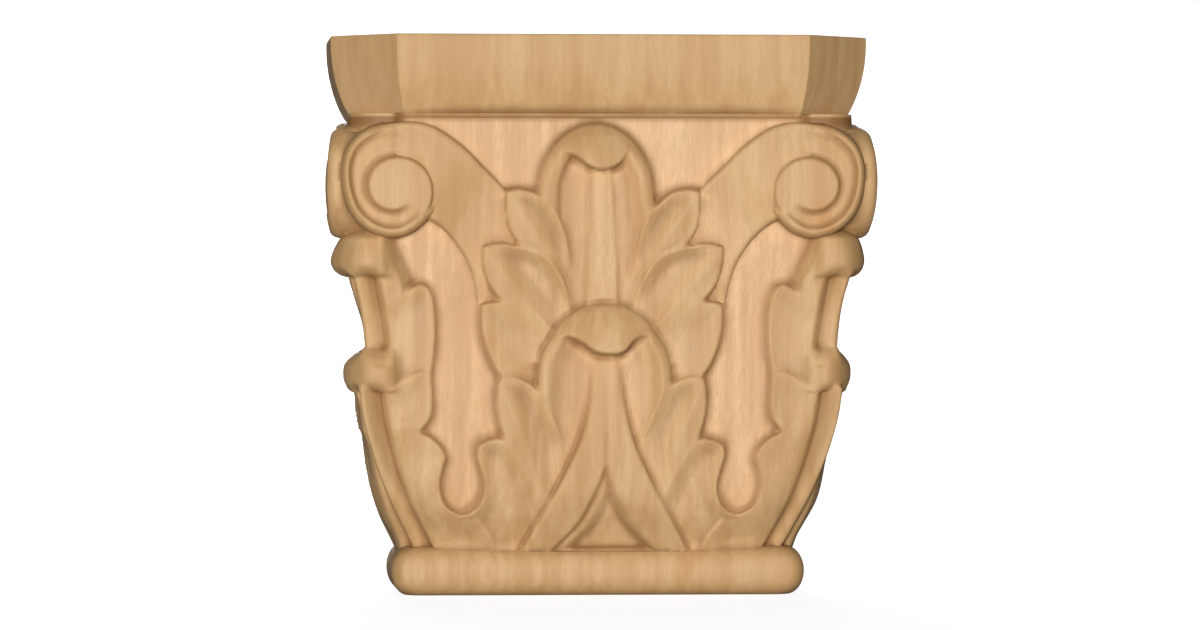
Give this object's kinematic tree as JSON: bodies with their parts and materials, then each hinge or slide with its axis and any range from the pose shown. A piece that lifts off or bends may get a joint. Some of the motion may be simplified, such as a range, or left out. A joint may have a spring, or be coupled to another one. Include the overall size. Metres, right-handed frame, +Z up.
{
  "type": "corinthian pilaster capital",
  "caption": "Carved maple Corinthian pilaster capital with corner volutes, two tiers of acanthus, a cut-corner abacus and a torus at its foot. The back is flat.",
  "frame": {"origin": "under the middle of the whole block, on the plane of its underside", "axes": "+Z up the capital, -Y out of the carved front, +Y towards the flat back, +X to the right seen from the front"},
  "size_m": [0.1374, 0.054, 0.14],
  "materials": {
    "maple": "satin"
  },
  "bodies": {
    "root": {"capital": "maple"}
  },
  "joints": []
}
